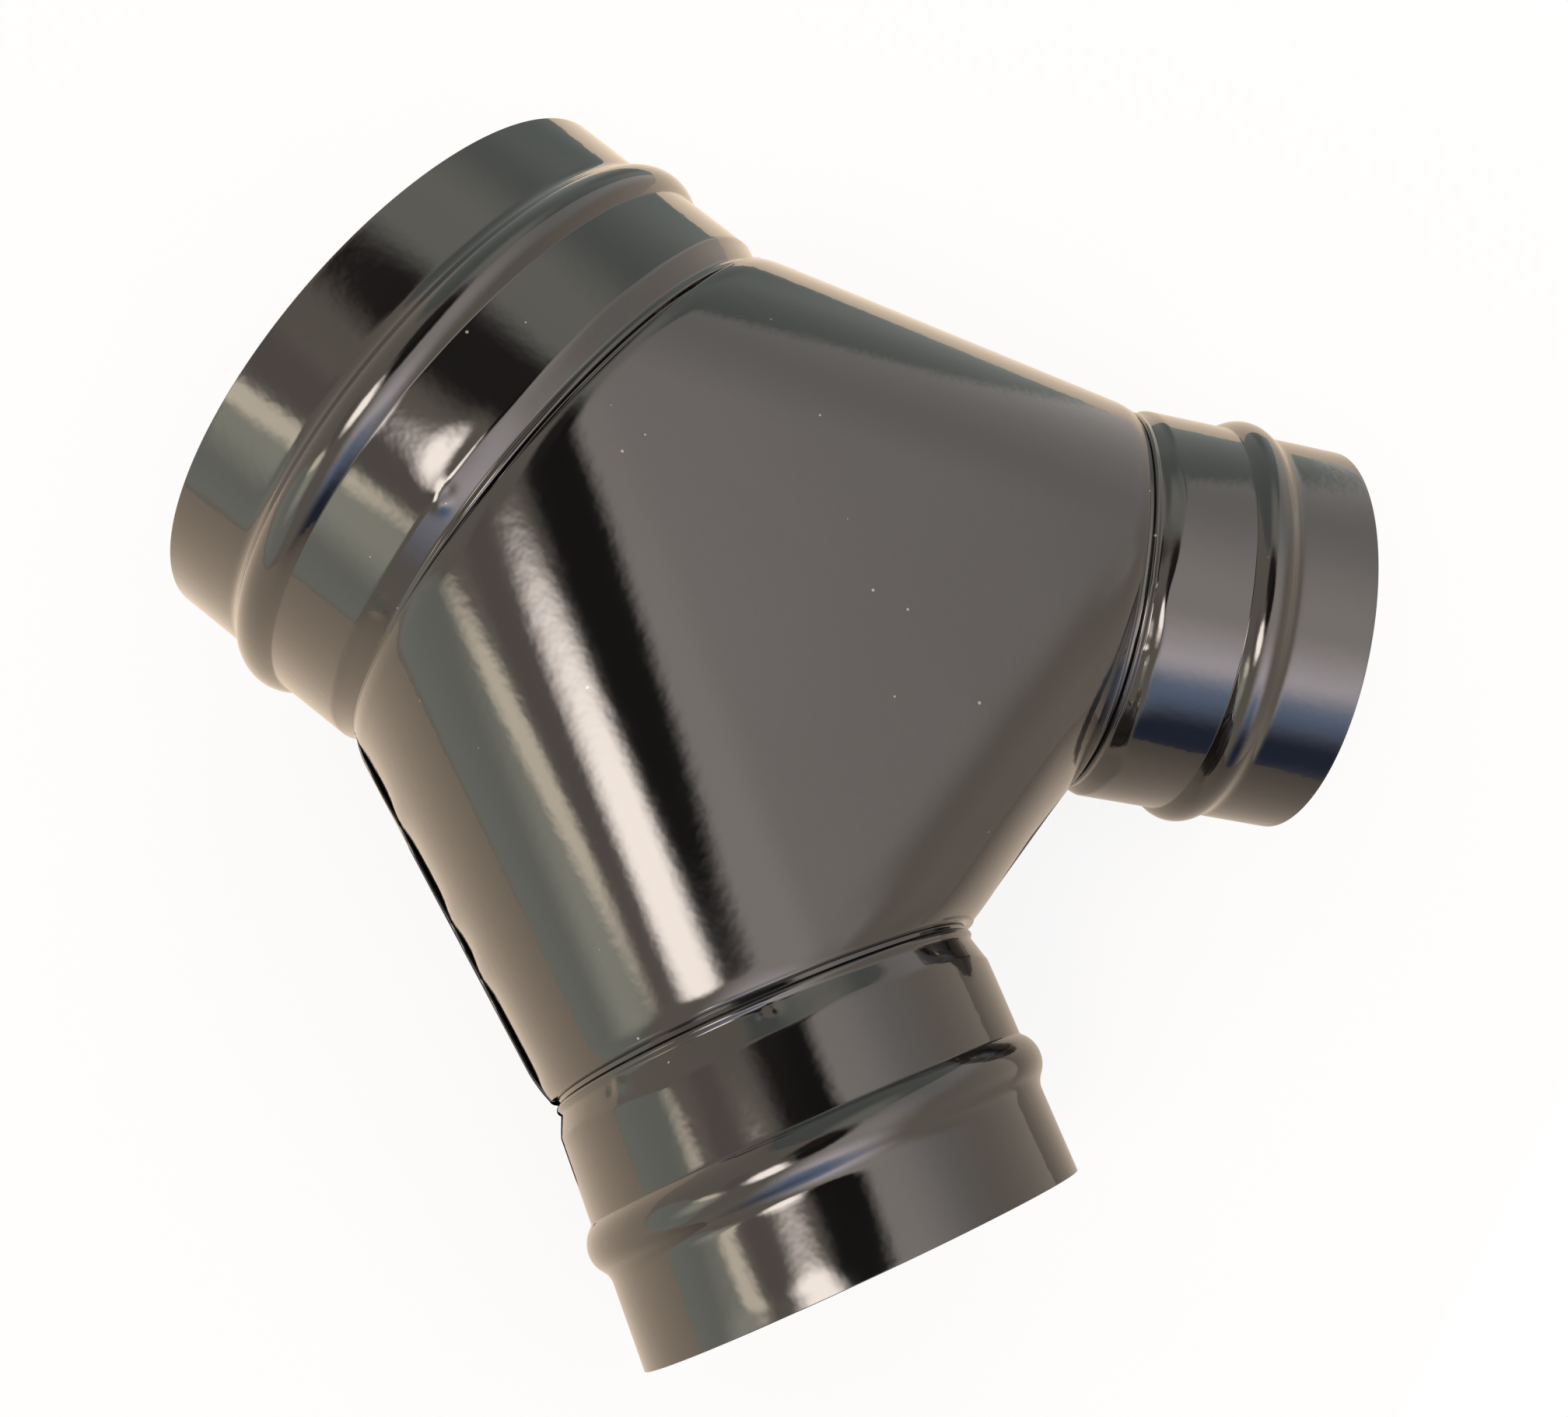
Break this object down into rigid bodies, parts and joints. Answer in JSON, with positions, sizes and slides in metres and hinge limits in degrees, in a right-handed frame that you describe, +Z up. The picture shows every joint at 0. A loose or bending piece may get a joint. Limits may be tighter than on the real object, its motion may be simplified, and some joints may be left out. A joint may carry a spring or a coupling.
{
  "type": "duct y branch",
  "caption": "Y branch for round ventilation duct: a flat-faced sheet-metal body with one large and two small beaded collars, painted gloss black.",
  "frame": {"origin": "centre of the object's outline on the floor it lies on", "axes": "+Z up from the floor, out of the front face, with the part lying on the body's inlet edge and on the outlets' beads; +X towards the large inlet; +Y across, towards the right outlet seen from the inlet"},
  "size_m": [0.25, 0.2762, 0.1578],
  "materials": {
    "black_paint": "smooth gloss black stove paint on thin sheet steel, fine orange peel, dust specks and a few pinch marks at the joints"
  },
  "bodies": {
    "root": {"upper_shell": "black_paint", "lower_shell": "black_paint", "inlet_collar": "black_paint", "outlet_collar_left": "black_paint", "outlet_collar_right": "black_paint"}
  },
  "joints": []
}
